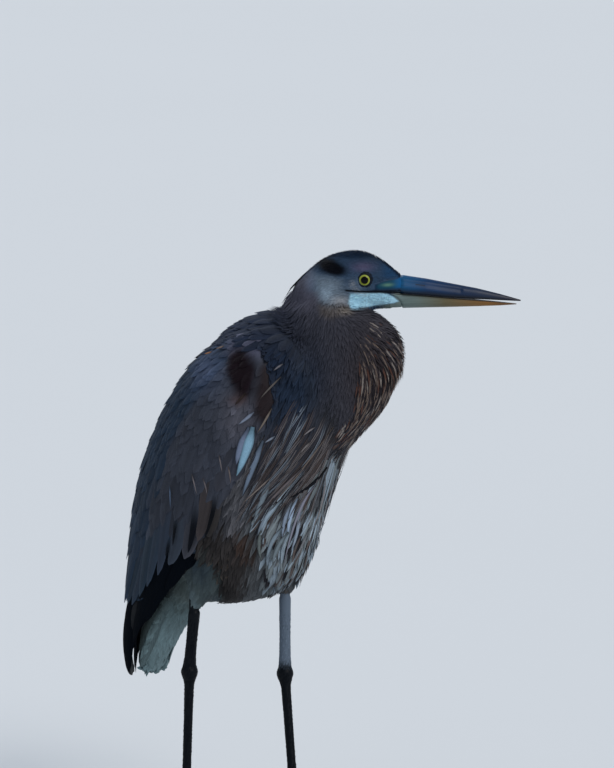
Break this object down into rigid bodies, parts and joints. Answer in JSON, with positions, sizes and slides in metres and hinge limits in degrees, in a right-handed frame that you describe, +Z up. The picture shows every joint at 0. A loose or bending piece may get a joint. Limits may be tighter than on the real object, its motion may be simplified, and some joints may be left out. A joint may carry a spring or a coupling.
{
  "type": "great blue heron",
  "caption": "Life-size standing great blue heron with its neck drawn in, folded wings and head turned to its left, feet flat on the floor.",
  "frame": {"origin": "middle of the whole bird's box, on the floor under its feet", "axes": "+X ahead of the breast, +Y to the bird's left, +Z up"},
  "size_m": [0.4672, 0.2202, 0.7045],
  "materials": {
    "crown": "short dark slate-blue feathers, matt with a faint sheen",
    "neck": "soft grey-brown feathers with pale and rufous streaks in front",
    "breast": "loose feathers streaked white and dark slate, brown at the flank",
    "wing": "overlapping slate grey-brown feathers with paler edges",
    "flight": "stiff blackish flight feathers with a slight sheen",
    "tail": "smooth pale blue-grey feathers",
    "thigh": "short rufous-brown feathers",
    "shank": "bare grey skin with small scales, satin",
    "scale": "dark horny scutes, satin",
    "claw": "blackish horn, satin",
    "bill_top": "dark blue horn turning slate at the tip, satin",
    "bill_bottom": "olive-yellow horn, orange towards the tip, satin",
    "eye": "wet bright yellow iris with a black pupil"
  },
  "bodies": {
    "root": {"head": "crown", "crest": "crown", "neck_upper": "neck", "neck_middle": "neck", "neck_lower": "neck", "trunk": "breast", "wing_left": "wing", "wing_right": "wing", "flight_feathers_left": "flight", "flight_feathers_right": "flight", "tail": "tail", "thigh_left": "thigh", "thigh_right": "thigh", "shank_left": "shank", "shank_right": "shank", "tarsus_left": "scale", "tarsus_right": "scale", "eye_left": "eye", "eye_right": "eye", "bill_upper": "bill_top", "bill_lower": "bill_bottom", "toe_inner_left": "scale", "claw_inner_left": "claw", "toe_middle_left": "scale", "claw_middle_left": "claw", "toe_outer_left": "scale", "claw_outer_left": "claw", "toe_hind_left": "scale", "claw_hind_left": "claw", "toe_inner_right": "scale", "claw_inner_right": "claw", "toe_middle_right": "scale", "claw_middle_right": "claw", "toe_outer_right": "scale", "claw_outer_right": "claw", "toe_hind_right": "scale", "claw_hind_right": "claw"}
  },
  "joints": []
}
